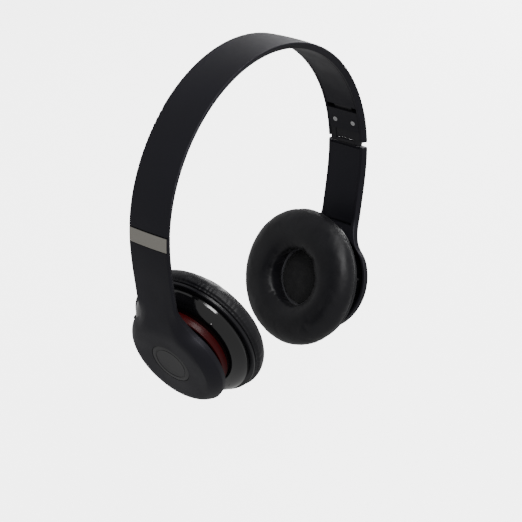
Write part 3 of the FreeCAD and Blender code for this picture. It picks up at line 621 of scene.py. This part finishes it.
def cushion(side, sign):
    """The ring cushion: inflated by a cloth simulation, then gathered into pleats at its skirt."""
    bm = lathe(pad_profile(), CUP_FRAME, sign, PAD_SEGMENTS)
    obj = piece(
        f"{side}_cushion", bm, MATERIALS["leatherette_black"], f"{side}_cup",
        (f"{side}_ear_cushion",), 180,
    )
    to_cup = CUP_FRAME.inverted()
    local = lambda co: to_cup @ from_side(co, sign)
    world = lambda p: to_side(CUP_FRAME @ p, sign)
    inflate(obj, local, world)
    divide = obj.modifiers.new("divide", "SUBSURF")
    divide.levels = divide.render_levels = 2
    apply_modifiers(obj)
    gather(obj, local, world, random.Random(11 if sign > 0 else 23))
    for polygon in obj.data.polygons:
        polygon.use_smooth = True
    return obj


def inflate(obj, local, world):
    """Cloth simulation with air pressure; the base ring is pinned, and no point moves far."""
    rest = [v.co.copy() for v in obj.data.vertices]
    shake = random.Random(5)
    group = obj.vertex_groups.new(name="pinned")
    for v in obj.data.vertices:
        p = local(v.co)
        height = p.z - PAD_Z
        group.add([v.index], 1.0 if height < 1.2 else 0.0, "REPLACE")
        if height >= 1.2:
            p += Vector([shake.uniform(-0.04, 0.04) for _ in range(3)])
            v.co = world(p)
    cloth = obj.modifiers.new("cloth", "CLOTH")
    cloth.settings.vertex_group_mass = "pinned"
    cloth.settings.use_pressure = True
    cloth.settings.uniform_pressure_force = 2.5
    cloth.settings.shrink_min = -0.012
    cloth.settings.bending_stiffness = 0.6
    cloth.settings.tension_stiffness = 25
    cloth.settings.compression_stiffness = 25
    cloth.settings.quality = 6
    cloth.settings.effector_weights.gravity = 0.0
    scene = bpy.context.scene
    for number in range(1, 21):
        scene.frame_set(number)
    apply_modifiers(obj)
    scene.frame_set(1)
    reach = 0.6
    for v, was in zip(obj.data.vertices, rest):
        move = (local(v.co) - local(was))
        if move.length > reach:
            move *= reach / move.length
        v.co = world(local(was) + move)


def gather(obj, local, world, rng):
    """Presses pleats into the skirt, where the cover is gathered under the cushion."""
    pleats = []
    for i in range(PAD_PLEATS):
        angle = (i + rng.uniform(-0.32, 0.32)) * 2 * math.pi / PAD_PLEATS
        pleats.append((angle, rng.uniform(0.12, 0.36), rng.uniform(0.28, 0.55), rng.uniform(3.0, 7.0)))
    for v in obj.data.vertices:
        p = local(v.co)
        r = math.hypot(p.x, p.y)
        height = p.z - PAD_Z
        if r < PAD_R - 7 or height > 11:
            continue
        a = math.atan2(p.y, p.x)
        dent = 0.0
        for angle, depth, width, length in pleats:
            off = (a - angle + math.pi) % (2 * math.pi) - math.pi
            off = off * PAD_R - 0.25 * (height - 2) * math.sin(angle * 7)
            if abs(off) < 3 * width:
                fade = 1 - smoothstep(length * 0.35, length, height)
                dent += depth * fade * math.exp(-((off / width) ** 2))
        swell = 0.06 * noise.noise(Vector((a * 14, height * 0.25, 3.1)))
        seam = 0.55 * math.exp(-(((height - 1.15) / 0.4) ** 2))
        grow = swell - dent - seam
        v.co = world(Vector((p.x * (r + grow) / r, p.y * (r + grow) / r, p.z)))


def driver_cover(side, sign):
    """The cloth at the bottom of the cushion's well: domed, puckered at its rim."""
    base = PAD_Z - 0.05
    rows = []
    rings = 22
    for i in range(96):
        a = 2 * math.pi * i / 96
        row = []
        for j in range(rings):
            t = j / (rings - 1)
            r = COVER_R * t
            pucker = 0.1 * math.sin(24 * a + 2 * math.sin(3 * a)) * smoothstep(0.75, 1.0, t)
            z = base + 0.25 + 0.95 * (1 - t * t) + pucker
            row.append(to_side(CUP_FRAME @ Vector((r * math.cos(a), r * math.sin(a), z)), sign))
        rim = Vector((COVER_R * math.cos(a), COVER_R * math.sin(a), base - 0.1))
        row.append(to_side(CUP_FRAME @ rim, sign))
        row.append(to_side(CUP_FRAME @ Vector((0, 0, base - 0.1)), sign))
        rows.append(row)
    bm, _ = skin(rows, closed=True, wrap=True)
    bmesh.ops.remove_doubles(bm, verts=bm.verts, dist=1e-6)
    bmesh.ops.dissolve_degenerate(bm, edges=bm.edges, dist=1e-7)
    return piece(
        f"{side}_driver_cover", bm, MATERIALS["cloth_black"], f"{side}_cup",
        (f"{side}_driver_cloth",), 50,
    )


# ---------------------------------------------------------------- studio
def studio():
    """A pale floor, a pale world and large soft lights."""
    ends = (-FLOOR_HALF, FLOOR_HALF)
    rows = [[Vector((x, y, FLOOR_Z)) for x in ends] for y in ends]
    bm, _ = skin(rows, closed=False)
    mesh = bpy.data.meshes.new("floor")
    bm.to_mesh(mesh)
    bm.free()
    floor = bpy.data.objects.new("floor", mesh)
    bpy.context.scene.collection.objects.link(floor)
    mat, shader = new_material("floor_pale", (0.88, 0.88, 0.88), 0.8)
    shader.inputs["Emission Color"].default_value = (1, 1, 1, 1)
    shader.inputs["Emission Strength"].default_value = FLOOR_GLOW
    # The floor shows white behind the headset, but doesn't light it from below.
    floor.visible_diffuse = False
    floor.visible_glossy = False
    mesh.materials.append(mat)
    world = bpy.data.worlds.new("studio")
    bpy.context.scene.world = world
    world.use_nodes = True
    background = world.node_tree.nodes["Background"]
    background.inputs["Color"].default_value = (1, 1, 1, 1)
    background.inputs["Strength"].default_value = WORLD_GLOW
    soft_light("key", (-0.35, -0.75, 0.75), 0.7, 0.7, 9)
    soft_light("rim", (0.95, 0.25, 0.35), 0.5, 1.0, 9)
    soft_light("strip", (0.2, -0.32, 0.6), 0.09, 0.32, 1.5)


def soft_light(name, place, width, height, power):
    """A rectangular soft light aimed at the middle of the headset."""
    data = bpy.data.lights.new(name, "AREA")
    data.shape, data.size, data.size_y = "RECTANGLE", width, height
    data.energy = power
    light = bpy.data.objects.new(name, data)
    light.location = place
    aim = Vector((0, 0, -0.09)) - Vector(place)
    light.rotation_euler = aim.to_track_quat("-Z", "Y").to_euler()
    bpy.context.scene.collection.objects.link(light)


def camera():
    """The camera looks down on the wearer's right side from the front."""
    azimuth, elevation = math.radians(CAMERA_AZIMUTH), math.radians(CAMERA_ELEVATION)
    right = Vector((math.cos(azimuth), math.sin(azimuth), 0))
    level = math.cos(elevation)
    back = Vector((math.sin(azimuth) * level, -math.cos(azimuth) * level, math.sin(elevation)))
    up = back.cross(right)
    data = bpy.data.cameras.new("camera")
    data.sensor_width, data.lens = 36.0, CAMERA_LENS
    data.clip_end = 20
    cam = bpy.data.objects.new("camera", data)
    spot = Vector((0, 0, CAMERA_RISE)) + right * CAMERA_RIGHT - up * CAMERA_DROP + back * CAMERA_DISTANCE
    cam.matrix_world = Matrix.Translation(spot) @ Matrix((right, up, back)).transposed().to_4x4()
    bpy.context.scene.collection.objects.link(cam)
    bpy.context.scene.camera = cam


camera()
studio()
dress_cad_nodes()
for side, sign in SIDES.items():
    arm_shell(side, sign)
    emblem(side, sign)
    cushion(side, sign)
    driver_cover(side, sign)
